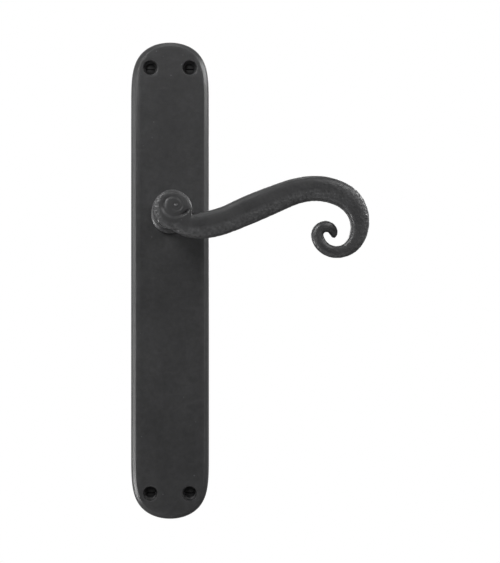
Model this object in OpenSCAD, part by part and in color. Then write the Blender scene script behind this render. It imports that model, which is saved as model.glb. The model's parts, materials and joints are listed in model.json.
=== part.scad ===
// Door lever handle on a long round-ended backplate, right-hand lever, sprung.
// The origin lies on the spindle axis, in the plane of the door's surface.
// +X runs along the lever, +Z is up, and the front of the handle faces -Y.

/* [Backplate] */
// Height of the backplate
plate_height = 250; // [200:1:280]
// Width of the backplate
plate_width = 41; // [41:0.5:50]
// How far the backplate stands out from the door
plate_depth = 11; // [11:0.5:14]
// Thickness of the backplate's front skin
plate_skin = 2.6; // [2:0.1:3]
// How far the spindle sits above the middle of the backplate
spindle_rise = 34.5; // [30:0.5:45]
// Length of the curved stretch at each end
end_length = 41; // [36:1:46]
// Power of the end curve: higher is flatter at the tip of the plate
end_power = 5; // [4:0.5:6]

/* [Fixing screws] */
// Distance between the screws across the plate
screw_spacing_x = 20.5; // [18:0.5:22]
// Distance between the upper and the lower screws
screw_spacing_z = 222; // [170:1:226]
// Diameter of the recess round each screw
recess_width = 7.5; // [7:0.1:8]
// Depth of the recess, from the plate's face to the shoulder round the screw
recess_depth = 3.9; // [3:0.1:4.5]
// Diameter of a screw's head
screw_head_width = 5.7; // [5.4:0.1:6]
// Diameter over a screw's thread
screw_width = 3.4; // [3:0.1:3.5]
// How far each screw reaches into the door
screw_reach = 16; // [12:1:25]

/* [Lever] */
// How far the front of the lever stands out from the door
projection = 54; // [50:0.5:60]
// Depth of the lever's disc, front to back
head_depth = 11.5; // [10:0.5:13]
// Diameter of the disc at the lever's root
head_width = 19.1; // [18:0.1:20]
// Where the disc's centre lies from the spindle axis: X, Z
head_centre = [1.1, 0.2];
// Diameter of the neck between the disc and the backplate
neck_width = 15.6; // [15.2:0.1:16]
// Diameter of the neck's foot, against the backplate
foot_width = 20; // [19:0.1:20.4]

/* [Spindle and bearing] */
// Width across the flats of the square spindle
spindle_size = 8; // [7:0.5:8]
// Length of the spindle
spindle_length = 90; // [80:1:120]
// Diameter of the journal that turns in the bush
journal_width = 15; // [14.8:0.1:15]
// Radial clearance between the journal and the bush
running_gap = 0.05; // [0.02:0.01:0.1]

/* [Return spring] */
// Wire diameter
wire_width = 1.2; // [1:0.1:1.2]
// Mean diameter of the coil
coil_width = 26.4; // [26.2:0.1:26.6]
// Rise of the coil for each turn
coil_pitch = 1.25; // [1.25:0.01:1.27]
// Angle from the fixed leg to the moving leg: whole turns plus a quarter
coil_angle = 810; // [810]

/* [Hidden] */
$fn = 72;

black_iron = "#2b2b2c";
raw_steel = "#8c8f92";
black_nylon = "#1c1c1d";

// Planes of the mechanism, as Y values from the door's surface
face_y = -plate_depth;
inner_y = face_y + plate_skin;
boss_end_y = -4.6;
washer_y = [-4.5, -4.0];
drive_y = [-3.9, -2.7];
wave_y = [-2.62, -2.2];
clip_y = [-2.1, -1.1];
cover_y = [-0.8, 0];
journal_end_y = -0.15;
spring_y = [inner_y + 0.75, inner_y + 0.75 + coil_pitch * coil_angle / 360];

// Radii and gaps of the mechanism
journal_r = journal_width / 2;
bush_bore_r = journal_r + running_gap;
bush_r = 8.6;
boss_r = 11.3;
flange_r = 9.3;
flange_thickness = 0.8;
foot_gap = 0.2;
foot_y = face_y - flange_thickness - foot_gap;
washer_r = 11;
fit_gap = 0.03;

// Pins: they stand on one ring, pressed into the skin of the plate
pin_r = 1.25;
pin_ring_r = 15.6;
pin_seat = 1.2;
pin_chamfer = 0.3;

// Drive plate: a hub with a lug for the stops and a tab for the spring
flat_to_flat = 12.4;
hub_r = 12;
reach_r = 16.5;
lug_half_width = 2;
tab_half_width = 1.7;
tab_thickness = 1.3;

// Angles in the X-Z plane, from +X towards +Z. The lever turns down by lever_travel.
lever_travel = 45;
fixed_leg_angle = 13.5;
moving_leg_angle = fixed_leg_angle - coil_angle + 720;
tab_lead = 8.5;
tab_angle = moving_leg_angle + tab_lead;
lug_angle = 112.5;
stop_gap = 0.3;
stop_offset = asin((lug_half_width + pin_r + stop_gap) / pin_ring_r);
post_offset = asin((wire_width / 2 + pin_r + fit_gap) / pin_ring_r);
rest_stop_angle = lug_angle + stop_offset;
travel_stop_angle = lug_angle - lever_travel - stop_offset;
post_angle = fixed_leg_angle - post_offset;

// Edge of the plate as [inset, height above the door]: draft, rounded shoulder, bead, face
edge_profile = [
    [0, 0], [0.3, plate_depth - 3.4], [0.8, plate_depth - 1.9],
    [1.7, plate_depth - 0.75], [2.6, plate_depth - 0.3], [3.0, plate_depth]
];
wall_thickness = 3.1;

// Bosses and posts cast behind the skin
boss_root = 0.5;
screw_boss_r = 5.2;
screw_hole_r = 1.95;
cover_post_z = 20;
cover_post_r = 2.8;
cover_thread_r = 1.5;
cover_thread_start = 0.6;

// Fixing screws: a raised countersunk head seats in the floor of its recess
screw_head_r = screw_head_width / 2;
screw_thread_r = screw_width / 2;
screw_shank_r = screw_thread_r - 0.3;
seat_gap = 0.07;
seat_y = face_y + recess_depth;
screw_rim_y = seat_y + 0.05;
screw_dome = 0.55;
screw_point = 4;
screw_slot_width = 0.9;
screw_slot_depth = 0.75;

// Cover: a plate hulled over the coil and the two posts, held by countersunk screws
cover_r = 15.6;
cover_lug_r = 3.8;
cover_screw_head_r = 2.7;
cover_screw_length = 6.5;
cover_screw_chamfer = 0.4;
cover_slot_width = 0.7;
cover_slot_depth = 0.5;

// Socket in the neck, and the set screw that holds the spindle in it
socket_depth = 30;
socket_size = spindle_size + 0.1;
spindle_start_y = -socket_depth + 1;
spindle_corner_r = spindle_size * 0.69;
spindle_chamfer = 0.8;
grub_y = -18;
grub_r = 2.5;
grub_length = 3.1;
grub_key_r = 1.4;
grub_key_depth = 1.7;

// Wave washer and circlip
wave_inner_r = journal_r + 0.15;
wave_outer_r = 10.3;
wave_thickness = 0.25;
wave_crests = 3;
wave_steps = 72;
clip_groove_r = journal_r - 0.35;
clip_outer_r = 9.6;
clip_offset = 0.35;
clip_mouth = 4.2;
clip_throat = 2.2;
clip_ear_r = 1.5;
clip_ear_at = [8.9, 2.75];
clip_eye_r = 0.7;

// Spring: the legs leave the coil round a small bend
coil_r = coil_width / 2;
wire_r = wire_width / 2;
leg_bend_r = 1.2;
leg_ends = [reach_r - 0.3, reach_r - 1.2];
coil_steps = 72;

// Centre line of the lever's arm, from inside the disc to the tip of the curl:
// a chain of bends, each [length, turn in degrees], with positive turns upwards.
arm_start = [3, -5.85];
arm_heading = -23.5;
arm_bends = [
    [12, 30], [16.5, 17.5], [29, -2.5], [11, -15], [16.5, -32], [10, -35.5],
    [16, -55.5], [10, -50.5], [15, -89.5], [7.5, -101], [8, -114]
];
// Half the arm's height and half its depth at distances along the centre line
arm_heights = [
    [0, 4.2], [6, 5.3], [12, 6.15], [26, 6.6], [40, 6.9], [48, 6.75], [62, 6.2], [83, 5.8],
    [91, 5.45], [98, 4.8], [108, 4.0], [122, 2.9], [138, 2.85], [147, 2.3], [150.3, 1.6],
    [151.5, 0.7]
];
arm_depths = [
    [0, 5.4], [40, 5.75], [83, 5.4], [108, 4.2], [122, 3.3], [138, 3.0], [148, 2.3], [151.5, 0.8]
];
arm_setback = 6.2;
arm_y = -projection + arm_setback;
arm_step = 5;
arm_turn = 12;
arm_sides = 16;
arm_power = 2.6;

// The scroll on the disc: a raised eye with a groove that winds out from it
eye_centre = [2.9, 2.1];
eye_r = 1.1;
eye_height = 0.95;
groove_r = 0.55;
groove_y = -projection - 0.15;
groove_start = [-27, 7.0];
groove_turn = 423;
groove_closing = 0.8 / 90;
groove_steps = 40;

// ---- shared geometry ----

// Stands an extrusion on its side, so that its height runs along +Y
module along_y(y = 0) {
    translate([0, y, 0]) rotate([-90, 0, 0]) children();
}

// A disc or tube about a Y axis, between two Y values
module barrel(r, y, x = 0, z = 0) {
    translate([x, y[0], z]) rotate([-90, 0, 0]) cylinder(r = r, h = y[1] - y[0]);
}

// Revolves [radius, Y] points about the Y axis
module turned(profile) {
    rotate([-90, 0, 0]) rotate_extrude() polygon(profile);
}

function unit(v) = v / norm(v);

// A point in a plane of constant Y, at radius r and angle a, moved sideways by off
function polar(r, a, y, off = 0) =
    [r * cos(a) + off * sin(a), y, r * sin(a) - off * cos(a)];

// A point on an oval cross-section with centre c, square to the tangent t
function ring_point(c, t, w, d, a, power) =
    let (side = unit(cross(t, [0, 1, 0])), up = unit(cross(side, t)))
    c + side * w * sign(cos(a)) * pow(abs(cos(a)), 2 / power)
      + up * d * sign(sin(a)) * pow(abs(sin(a)), 2 / power);

// Sweeps an oval of half sizes w by d along a path of [centre, tangent, w, d]
module swept(path, sides, power) {
    n = len(path);
    points = [for (p = path) for (k = [0:sides - 1])
        ring_point(p[0], p[1], p[2], p[3], 360 * (k + 0.5) / sides, power)];
    walls = [for (i = [0:n - 2]) for (k = [0:sides - 1])
        let (a = i * sides + k, b = i * sides + (k + 1) % sides)
        [a, b, b + sides, a + sides]];
    first = [for (k = [sides - 1:-1:0]) k];
    last = [for (k = [0:sides - 1]) (n - 1) * sides + k];
    polyhedron(points, concat(walls, [first, last]));
}

module at_angle(angle) {
    translate([pin_ring_r * cos(angle), 0, pin_ring_r * sin(angle)]) children();
}

module at_screw(sx, sz) {
    translate([sx * screw_spacing_x / 2, 0, sz * screw_spacing_z / 2 - spindle_rise]) children();
}

module at_screws() {
    for (sx = [-1, 1], sz = [-1, 1])
        at_screw(sx, sz) children();
}

module at_cover_posts() {
    for (sz = [-1, 1])
        translate([0, 0, sz * cover_post_z]) children();
}

// ---- backplate ----

// One quarter of the outline, from the tip of the end to the straight side
function end_curve() = [for (a = [0, 6, 12, 19, 27, 36, 45, 54, 62, 69, 75, 80, 84, 87, 90])
    [plate_width / 2 * sin(a),
     plate_height / 2 - end_length * (1 - pow(cos(a), 2 / end_power))]];

// The whole outline about the plate's own middle, starting at the top
function outline() =
    let (q = end_curve(), n = len(q))
    concat(q,
        [for (i = [n - 1:-1:1]) [q[i][0], -q[i][1]]],
        [for (i = [0:n - 1]) [-q[i][0], -q[i][1]]],
        [for (i = [n - 1:-1:1]) [-q[i][0], q[i][1]]]);

// The outline moved inwards by d along its own normals
function inset(d) =
    let (o = outline(), n = len(o))
    [for (i = [0:n - 1])
        let (t = o[(i + 1) % n] - o[(i + n - 1) % n])
        o[i] + d * [t[1], -t[0]] / norm(t) * (o[i][0] * t[1] - o[i][1] * t[0] > 0 ? -1 : 1)];

module plate_body() {
    n = len(outline());
    points = [for (e = edge_profile) for (p = inset(e[0])) [p[0], -e[1], p[1] - spindle_rise]];
    m = len(edge_profile);
    walls = [for (i = [0:m - 2]) for (k = [0:n - 1])
        let (a = i * n + k, b = i * n + (k + 1) % n)
        [a, b, b + n, a + n]];
    back = [for (k = [n - 1:-1:0]) k];
    front = [for (k = [0:n - 1]) (m - 1) * n + k];
    polyhedron(points, concat(walls, [back, front]));
}

module cavity() {
    translate([0, inner_y, -spindle_rise]) rotate([-90, 0, 0])
        linear_extrude(plate_depth) polygon([for (p = inset(wall_thickness)) [p[0], -p[1]]]);
}

// Boss for the bush, bosses for the fixing screws and posts for the cover
module bosses() {
    root_y = inner_y - boss_root;
    barrel(boss_r, [root_y, boss_end_y]);
    at_screws() barrel(screw_boss_r, [root_y, 0]);
    at_cover_posts() barrel(cover_post_r, [root_y, cover_y[0] - 0.02]);
}

module screw_hole() {
    recess_r = recess_width / 2;
    seat_r = screw_head_r + seat_gap;
    turned([
        [0, face_y - 1], [recess_r, face_y - 1], [recess_r, seat_y], [seat_r, seat_y],
        [screw_hole_r, seat_y + seat_r - screw_hole_r], [screw_hole_r, 1], [0, 1]
    ]);
}

module backplate() color(black_iron) {
    difference() {
        union() {
            difference() {
                plate_body();
                cavity();
            }
            bosses();
        }
        barrel(bush_r + 0.02, [face_y - 1, 0]);
        at_screws() screw_hole();
        at_cover_posts() barrel(cover_thread_r, [inner_y + cover_thread_start, 0]);
        at_cover_posts() barrel(cover_thread_r + 0.5, [cover_y[0] - 0.5, 0]);
        for (a = [post_angle, rest_stop_angle, travel_stop_angle])
            at_angle(a) barrel(pin_r, [inner_y - pin_seat, inner_y + 1]);
    }
}

module bearing_bush() color(black_nylon) {
    flange_y = face_y - flange_thickness;
    turned([
        [bush_bore_r, flange_y], [flange_r, flange_y], [flange_r, face_y],
        [bush_r, face_y], [bush_r, boss_end_y], [bush_bore_r, boss_end_y]
    ]);
}

// ---- fixing screws ----

module fixing_screw() {
    dome_y = screw_rim_y - screw_dome;
    difference() {
        turned([
            [0, dome_y], [screw_head_r * 0.5, dome_y + 0.13], [screw_head_r * 0.85, dome_y + 0.38],
            [screw_head_r, screw_rim_y], [screw_shank_r, screw_rim_y + screw_head_r - screw_shank_r],
            [screw_shank_r, 0], [screw_thread_r, 0], [screw_thread_r, screw_reach - screw_point],
            [0.3, screw_reach], [0, screw_reach]
        ]);
        translate([0, dome_y, 0])
            cube([screw_head_width + 1, 2 * screw_slot_depth, screw_slot_width], center = true);
    }
}

module placed_screw(sx, sz) color(black_iron) {
    at_screw(sx, sz) fixing_screw();
}

module fixing_screw_top_left() placed_screw(-1, 1);
module fixing_screw_top_right() placed_screw(1, 1);
module fixing_screw_bottom_left() placed_screw(-1, -1);
module fixing_screw_bottom_right() placed_screw(1, -1);

// ---- pins and spring ----

module plain_pin(angle, end_y) color(raw_steel) {
    r = pin_r - 0.02;
    start_y = inner_y - pin_seat + 0.05;
    at_angle(angle) turned([
        [0, start_y], [r, start_y], [r, end_y - pin_chamfer], [r - pin_chamfer, end_y], [0, end_y]
    ]);
}

module spring_post() plain_pin(post_angle, spring_y[0] + 1.4);
module stop_pin_rest() plain_pin(rest_stop_angle, drive_y[1] - 0.1);
module stop_pin_travel() plain_pin(travel_stop_angle, drive_y[1] - 0.1);

module thrust_washer() color(raw_steel) {
    difference() {
        barrel(washer_r, washer_y);
        barrel(journal_r + 0.12, [washer_y[0] - 1, washer_y[1] + 1]);
    }
}

// A leg's centre line at each bend angle b, turning into the coil on side s
function leg_bend(angle, y, s, bends) = [for (b = bends)
    polar(coil_r + leg_bend_r * (1 - sin(b)), angle, y, s * leg_bend_r * (1 - cos(b)))];

// Path of the wire: a straight leg, a bend, the coil, a bend and the moving leg
function spring_points() =
    let (lead = asin(leg_bend_r / coil_r), turn = coil_angle - 2 * lead, rise = spring_y[1] - spring_y[0])
    concat(
        [for (q = leg_ends) polar(q, fixed_leg_angle, spring_y[0])],
        leg_bend(fixed_leg_angle, spring_y[0], 1, [0:22.5:67.5]),
        [for (i = [0:coil_steps]) let (t = i / coil_steps)
            polar(coil_r, fixed_leg_angle - lead - turn * t, spring_y[0] + rise * t)],
        leg_bend(moving_leg_angle, spring_y[1], -1, [67.5:-22.5:0]),
        [for (i = [1, 0]) polar(leg_ends[i], moving_leg_angle, spring_y[1])]);

module return_spring() color(raw_steel) {
    p = spring_points();
    last = len(p) - 1;
    swept([for (i = [0:last])
        [p[i], p[min(i + 1, last)] - p[max(i - 1, 0)], wire_r, wire_r]], 8, 2);
}

// ---- cover ----

module spring_cover() color(raw_steel) {
    difference() {
        along_y(cover_y[0]) linear_extrude(cover_y[1] - cover_y[0]) hull() {
            circle(cover_r);
            for (z = [-cover_post_z, cover_post_z])
                translate([0, z]) circle(cover_lug_r);
        }
        barrel(journal_r + 0.6, [cover_y[0] - 1, 1]);
        at_cover_posts() turned([
            [0, -1.4], [cover_screw_head_r - 1.32, -1.4], [cover_screw_head_r + 1.08, 1], [0, 1]
        ]);
    }
}

// Its head is flush with the cover, so that the plate lies flat on the door
module cover_screw(z) color(raw_steel) {
    head_y = -0.05;
    r = cover_thread_r - fit_gap;
    translate([0, 0, z]) difference() {
        turned([
            [0, -cover_screw_length], [r - cover_screw_chamfer, -cover_screw_length],
            [r, cover_screw_chamfer - cover_screw_length], [r, head_y - cover_screw_head_r + r],
            [cover_screw_head_r, head_y], [0, head_y]
        ]);
        translate([0, head_y, 0])
            cube([2 * cover_screw_head_r + 1, 2 * cover_slot_depth, cover_slot_width], center = true);
    }
}

module cover_screw_upper() cover_screw(cover_post_z);
module cover_screw_lower() cover_screw(-cover_post_z);

// ---- lever ----

// Short steps of the arm's chain of bends
arm_steps = [for (b = arm_bends)
    let (n = ceil(max(b[0] / arm_step, abs(b[1]) / arm_turn))) for (j = [1:n]) b / n];

// Points along the arm as [X, Z, heading, distance]
arm_path = [for (i = 0, x = arm_start[0], z = arm_start[1], h = arm_heading, s = 0;
    i <= len(arm_steps);
    b = i < len(arm_steps) ? arm_steps[i] : [0, 0],
    x = x + b[0] * cos(h + b[1] / 2), z = z + b[0] * sin(h + b[1] / 2),
    h = h + b[1], s = s + b[0], i = i + 1) [x, z, h, s]];

module arm() {
    swept([for (q = arm_path) [
        [q[0], arm_y, q[1]], [cos(q[2]), 0, sin(q[2])],
        lookup(q[3], arm_heights), lookup(q[3], arm_depths)
    ]], arm_sides, arm_power);
}

// The disc at the lever's root, with a low dome
module head() {
    r = head_width / 2;
    front_y = -projection;
    back_y = front_y + head_depth;
    translate([head_centre[0], 0, head_centre[1]]) turned([
        [0, front_y - 0.7], [r * 0.5, front_y - 0.5], [r - 0.6, front_y + 0.3], [r, front_y + 1],
        [r - 0.3, back_y], [r - 2.2, back_y + 2.5], [0, back_y + 2.5]
    ]);
}

module eye() {
    translate([eye_centre[0], 0, eye_centre[1]]) turned([
        [0, -projection - eye_height], [eye_r * 0.5, -projection - eye_height + 0.1],
        [eye_r, -projection - 0.3], [eye_r, -projection + 1], [0, -projection + 1]
    ]);
}

function groove_point(i) =
    let (turned = groove_turn * i / groove_steps,
         a = groove_start[0] - turned,
         r = groove_start[1] - groove_closing * turned)
    [eye_centre[0] + r * cos(a), groove_y, eye_centre[1] + r * sin(a)];

module groove() {
    p = [for (i = [0:groove_steps]) groove_point(i)];
    swept([for (i = [0:groove_steps])
        [p[i], p[min(i + 1, groove_steps)] - p[max(i - 1, 0)], groove_r, groove_r]], 8, 2);
}

// A round bar with a flared foot, and the journal that turns in the bush
module neck() {
    neck_r = neck_width / 2;
    foot_r = foot_width / 2;
    turned([
        [0, -projection + arm_setback], [neck_r, -projection + arm_setback],
        [neck_r, foot_y - 4.5], [neck_r + 0.5, foot_y - 3], [foot_r - 0.4, foot_y - 1.4],
        [foot_r, foot_y - 0.8], [foot_r, foot_y],
        [journal_r, foot_y], [journal_r, journal_end_y], [0, journal_end_y]
    ]);
}

module clip_groove() {
    difference() {
        barrel(journal_r + 1, [clip_y[0] - 0.05, clip_y[1] + 0.05]);
        barrel(clip_groove_r, [clip_y[0] - 1, clip_y[1] + 1]);
    }
}

// Two flats near the end of the journal, where the drive plate sits
module flats() {
    flats_y = drive_y[0] - 0.1;
    for (side = [-1, 1])
        translate([side * (flat_to_flat / 2 + 5) - 5, flats_y, -10])
            cube([10, 1 - flats_y, 20]);
}

module lever() color(black_iron) {
    difference() {
        union() {
            arm();
            head();
            neck();
            eye();
        }
        groove();
        translate([-socket_size / 2, -socket_depth, -socket_size / 2])
            cube([socket_size, socket_depth + 1, socket_size]);
        flats();
        clip_groove();
        translate([0, grub_y, -20]) cylinder(r = grub_r + fit_gap, h = 20 - spindle_size / 2 - 0.02);
    }
}

// ---- spindle and set screw ----

module grub_screw() color(raw_steel) {
    translate([0, grub_y, -spindle_size / 2 - grub_length]) difference() {
        cylinder(r = grub_r, h = grub_length);
        translate([0, 0, -1]) cylinder(r = grub_key_r, h = grub_key_depth + 1, $fn = 6);
    }
}

module spindle() color(raw_steel) {
    end_y = spindle_start_y + spindle_length;
    intersection() {
        translate([-spindle_size / 2, spindle_start_y, -spindle_size / 2])
            cube([spindle_size, spindle_length, spindle_size]);
        turned([
            [0, spindle_start_y], [spindle_corner_r - spindle_chamfer, spindle_start_y],
            [spindle_corner_r, spindle_start_y + spindle_chamfer],
            [spindle_corner_r, end_y - spindle_chamfer], [spindle_corner_r - spindle_chamfer, end_y],
            [0, end_y]
        ]);
    }
}

// ---- drive train ----

module radial_arm(angle, length, half_width) {
    rotate(-angle) translate([0, -half_width]) square([length, 2 * half_width]);
}

module drive_plate() color(raw_steel) {
    along_y(drive_y[0]) linear_extrude(drive_y[1] - drive_y[0]) difference() {
        union() {
            circle(hub_r);
            radial_arm(lug_angle, reach_r, lug_half_width);
            radial_arm(tab_angle, reach_r, tab_half_width);
        }
        intersection() {
            circle(journal_r + 0.05);
            square([flat_to_flat + 0.1, 2 * journal_r + 1], center = true);
        }
    }
    // The tab bent forward beside the spring's moving leg
    rotate([0, -tab_angle, 0]) translate([reach_r - tab_thickness, spring_y[1] - 1, -tab_half_width])
        cube([tab_thickness, drive_y[0] - spring_y[1] + 1.2, 2 * tab_half_width]);
}

module wave_washer() color(raw_steel) {
    half = wave_thickness / 2;
    rise = (wave_y[1] - wave_y[0] - wave_thickness) / 2;
    middle = (wave_y[0] + wave_y[1]) / 2;
    section = [[wave_inner_r, -half], [wave_outer_r, -half], [wave_outer_r, half], [wave_inner_r, half]];
    points = [for (i = [0:wave_steps - 1]) let (a = 360 * i / wave_steps) for (q = section)
        polar(q[0], a, middle + q[1] + rise * cos(wave_crests * a))];
    polyhedron(points, [for (i = [0:wave_steps - 1]) for (k = [0:3])
        let (a = i * 4 + k, b = i * 4 + (k + 1) % 4, c = ((i + 1) % wave_steps) * 4)
        [a, c + k, c + (k + 1) % 4, b]]);
}

// An open ring with two ears, its mouth at the bottom
module circlip() color(raw_steel) {
    gap_angle = -90;
    along_y(clip_y[0]) linear_extrude(clip_y[1] - clip_y[0]) rotate(-gap_angle) difference() {
        union() {
            difference() {
                translate([-clip_offset, 0]) circle(clip_outer_r);
                translate([10, 0]) square([20, clip_mouth], center = true);
            }
            for (side = [-1, 1])
                translate([clip_ear_at[0], side * clip_ear_at[1]]) circle(clip_ear_r);
        }
        circle(clip_groove_r + fit_gap);
        translate([8, 0]) square([16, clip_throat], center = true);
        for (side = [-1, 1])
            translate([clip_ear_at[0], side * clip_ear_at[1]]) circle(clip_eye_r);
    }
}

backplate();
bearing_bush();
fixing_screw_top_left();
fixing_screw_top_right();
fixing_screw_bottom_left();
fixing_screw_bottom_right();
spring_post();
stop_pin_rest();
stop_pin_travel();
thrust_washer();
return_spring();
spring_cover();
cover_screw_upper();
cover_screw_lower();
lever();
grub_screw();
spindle();
drive_plate();
wave_washer();
circlip();
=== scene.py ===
import json
import math
import random
from itertools import product

import bmesh
import bpy
import numpy as np
from mathutils import Matrix, Vector, noise
from mathutils.kdtree import KDTree

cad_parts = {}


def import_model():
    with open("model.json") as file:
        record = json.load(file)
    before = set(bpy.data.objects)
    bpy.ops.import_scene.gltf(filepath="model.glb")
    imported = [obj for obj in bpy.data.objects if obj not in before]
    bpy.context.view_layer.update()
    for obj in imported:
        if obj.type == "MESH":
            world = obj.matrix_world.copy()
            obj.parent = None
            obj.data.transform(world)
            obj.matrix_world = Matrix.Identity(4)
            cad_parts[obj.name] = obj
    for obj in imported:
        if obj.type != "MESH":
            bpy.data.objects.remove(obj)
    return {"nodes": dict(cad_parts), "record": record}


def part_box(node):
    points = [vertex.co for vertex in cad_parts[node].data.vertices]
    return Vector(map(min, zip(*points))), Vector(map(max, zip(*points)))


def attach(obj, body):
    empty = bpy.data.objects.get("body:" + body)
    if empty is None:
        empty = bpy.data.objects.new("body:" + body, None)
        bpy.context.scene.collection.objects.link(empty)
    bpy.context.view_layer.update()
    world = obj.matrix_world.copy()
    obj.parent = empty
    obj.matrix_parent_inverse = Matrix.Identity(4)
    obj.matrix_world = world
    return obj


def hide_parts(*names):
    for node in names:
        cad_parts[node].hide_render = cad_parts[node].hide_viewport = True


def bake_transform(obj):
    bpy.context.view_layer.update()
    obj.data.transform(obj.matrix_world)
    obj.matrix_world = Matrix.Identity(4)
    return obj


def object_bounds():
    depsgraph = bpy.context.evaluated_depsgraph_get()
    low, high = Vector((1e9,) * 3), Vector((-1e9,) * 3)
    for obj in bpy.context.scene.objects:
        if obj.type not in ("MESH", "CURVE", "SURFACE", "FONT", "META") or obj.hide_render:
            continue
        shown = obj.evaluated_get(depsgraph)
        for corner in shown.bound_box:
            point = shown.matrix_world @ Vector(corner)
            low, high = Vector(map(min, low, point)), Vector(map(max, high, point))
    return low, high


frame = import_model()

MM = 0.001
cad_lo, cad_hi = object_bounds()

# ---------------------------------------------------------------- sizes, in millimetres

# Planes of the handle as Y values: the door's surface is 0 and the front is negative
FACE_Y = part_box("backplate")[0][1] / MM
PLATE_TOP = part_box("backplate")[1][2] / MM
PLATE_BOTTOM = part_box("backplate")[0][2] / MM
PLATE_MIDDLE = (PLATE_TOP + PLATE_BOTTOM) / 2
PLATE_HALF_HEIGHT = (PLATE_TOP - PLATE_BOTTOM) / 2
PLATE_HALF_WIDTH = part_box("backplate")[1][0] / MM
PLATE_SKIN = 2.6
INNER_Y = FACE_Y + PLATE_SKIN
WALL = 3.1
END_LENGTH = 41.0
END_POWER = 5.0
BOSS_END_Y = -4.6
BOSS_R = 11.3
BUSH_HOLE_R = 8.62
COVER_POST_Z = 20.0

SCREW_LO, SCREW_HI = [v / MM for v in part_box("fixing_screw_top_right")]
SCREW_X = (SCREW_LO.x + SCREW_HI.x) / 2
SCREW_Z = (SCREW_LO.z + SCREW_HI.z) / 2 - PLATE_MIDDLE
SCREW_R = (SCREW_HI.x - SCREW_LO.x) / 2
RECESS_R = 3.75
RECESS_DEPTH = 3.9
SCREW_HOLE_R = 1.95
SHANK_R = 1.4
SLOT_WIDTH = 0.7
SLOT_DEPTH = 1.35
SLOT_Z = -0.3
THREAD_R = 1.7
THREAD_ROOT_R = 1.15
THREAD_PITCH = 1.3
POINT_LENGTH = 4.0

FRONT_Y = -54.0
JOURNAL_R = 7.5
JOURNAL_END_Y = -0.15
GROOVE_Y = (-2.15, -1.05)
GROOVE_DEPTH = 0.35
FLAT_X = 6.2
FLAT_START_Y = -4.0
FOOT_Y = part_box("bearing_bush")[0][1] / MM - 0.2
FOOT_R = 9.95
NECK_R = 7.8
SOCKET = 8.1
SOCKET_DEPTH = 30.0
GRUB_Y = -18.0
GRUB_R = 2.53
HEAD_CENTRE = (1.1, 0.2)

# The arm's centre line, as in the CAD source: bends of [length, turn in degrees]
ARM_START = (3.0, -5.85)
ARM_HEADING = -23.5
ARM_BENDS = [
    (12, 30), (16.5, 17.5), (29, -2.5), (11, -15), (16.5, -32), (10, -35.5),
    (16, -55.5), (10, -50.5), (15, -89.5), (7.5, -101), (8, -114),
]
ARM_HEIGHTS = [
    (0, 4.2), (6, 5.3), (12, 6.15), (26, 6.6), (40, 6.9), (48, 6.75), (62, 6.2), (83, 5.8),
    (91, 5.45), (98, 4.8), (108, 4.0), (122, 2.9), (138, 2.85), (147, 2.3), (150.3, 1.6), (151.5, 0.7),
]
ARM_DEPTHS = [
    (0, 5.7), (14, 5.9), (28, 5.85), (40, 5.75), (83, 5.4), (108, 4.2), (122, 3.3), (138, 3.0),
    (148, 2.3), (151.5, 0.8),
]
ARM_LENGTH = ARM_HEIGHTS[-1][0]
ARM_Y = FRONT_Y + 6.2
# The remesh and its smoothing take a little off the bar, which this gives back, fading out over the tip
ARM_EXTRA = 0.16
ARM_EXTRA_FADE = 6
VOXEL, QUICK_VOXEL = 0.2, 0.5

# The scroll on the disc: the groove's floor as (X, Z, depth, half width), from the notch to the eye
EYE = (2.9, 2.1)
EYE_HEIGHT = 0.36
EYE_MOAT = 0.1
SCROLL = [
    (9.2, 0.1, 0.2, 0.5), (8.6, -0.3, 0.95, 0.6), (7.7, -1.0, 1.3, 0.65), (6.5, -1.9, 1.05, 0.7),
    (4.8, -2.7, 0.4, 0.8), (2.9, -3.1, 0.25, 0.9), (0.5, -2.7, 0.25, 1.0), (-1.7, -1.3, 0.42, 1.05),
    (-3.1, 0.7, 0.65, 1.0), (-3.2, 2.9, 0.65, 0.95), (-2.3, 4.8, 0.36, 0.85), (-0.5, 6.0, 0.2, 0.75),
    (1.9, 6.3, 0.15, 0.7), (4.3, 5.4, 0.15, 0.65), (5.6, 3.7, 0.17, 0.6), (5.7, 1.8, 0.2, 0.55),
    (4.6, 0.3, 0.18, 0.5), (2.9, -0.1, 0.14, 0.5), (1.3, 0.8, 0.08, 0.5),
]


# ---------------------------------------------------------------- helpers

def new_object(name, mesh, body, material):
    """A piece of the visual model, which moves with a body."""
    obj = bpy.data.objects.new(name, mesh)
    bpy.context.scene.collection.objects.link(obj)
    mesh.materials.clear()
    mesh.materials.append(material)
    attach(obj, body)
    return obj


def mesh_from(name, verts, faces, smooth_angle=35):
    mesh = bpy.data.meshes.new(name)
    mesh.from_pydata([tuple(v) for v in np.asarray(verts) * MM], [], faces)
    mesh.validate()
    finish_mesh(mesh, smooth_angle)
    return mesh


def finish_mesh(mesh, smooth_angle=35):
    """Welds doubled points, faces the skin outwards and shades it smooth up to an angle."""
    bm = bmesh.new()
    bm.from_mesh(mesh)
    bmesh.ops.remove_doubles(bm, verts=bm.verts, dist=0.002 * MM)
    bmesh.ops.recalc_face_normals(bm, faces=bm.faces)
    bm.to_mesh(mesh)
    bm.free()
    mesh.shade_smooth()
    mesh.set_sharp_from_angle(angle=math.radians(smooth_angle))


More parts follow.
